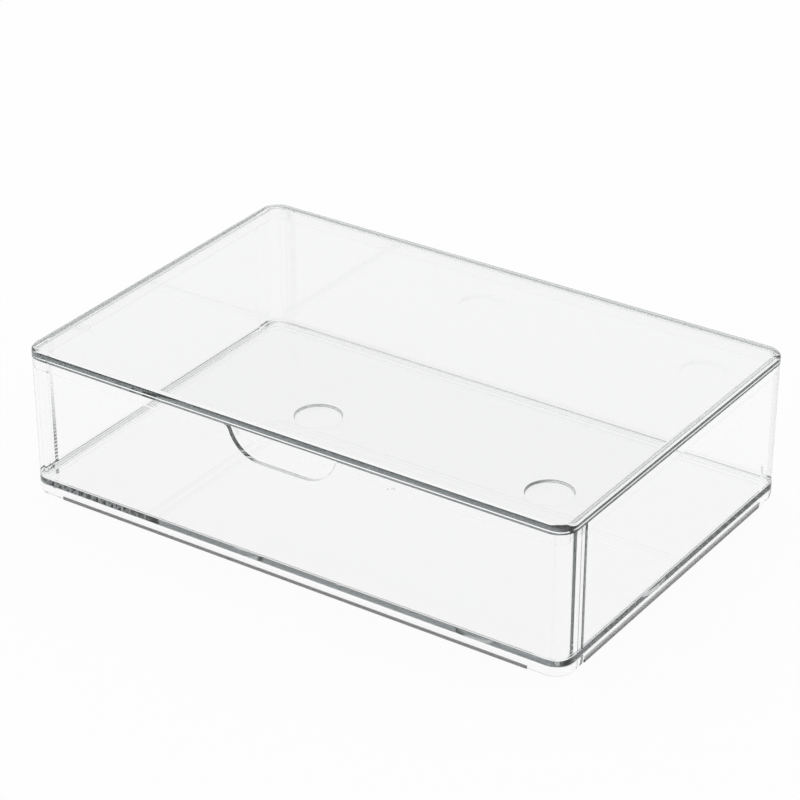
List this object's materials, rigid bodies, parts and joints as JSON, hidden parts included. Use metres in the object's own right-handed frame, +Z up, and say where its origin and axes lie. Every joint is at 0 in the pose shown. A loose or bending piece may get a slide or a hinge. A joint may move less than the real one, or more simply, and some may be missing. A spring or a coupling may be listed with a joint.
{
  "type": "desktop storage box with lift-off lid",
  "caption": "Low rectangular storage box in clear moulded plastic with a flat lift-off lid and a finger notch in its front wall.",
  "frame": {"origin": "centre of the footprint, on the surface that the box stands on", "axes": "+X along the long side, -Y out of the front wall with the finger notch, +Z up, the way the lid lifts"},
  "size_m": [0.3, 0.2, 0.077],
  "materials": {
    "clear_box_plastic": "clear polystyrene, polished mould surface",
    "clear_lid_plastic": "clear polystyrene, polished mould surface"
  },
  "bodies": {
    "box": {"storage_box": "clear_box_plastic"},
    "lid": {"lid": "clear_lid_plastic"}
  },
  "joints": [
    {"name": "lid_lift", "type": "slide", "parent": "box", "child": "lid", "axis": [0, 0, 1], "range_m": [0, 0.1]}
  ]
}
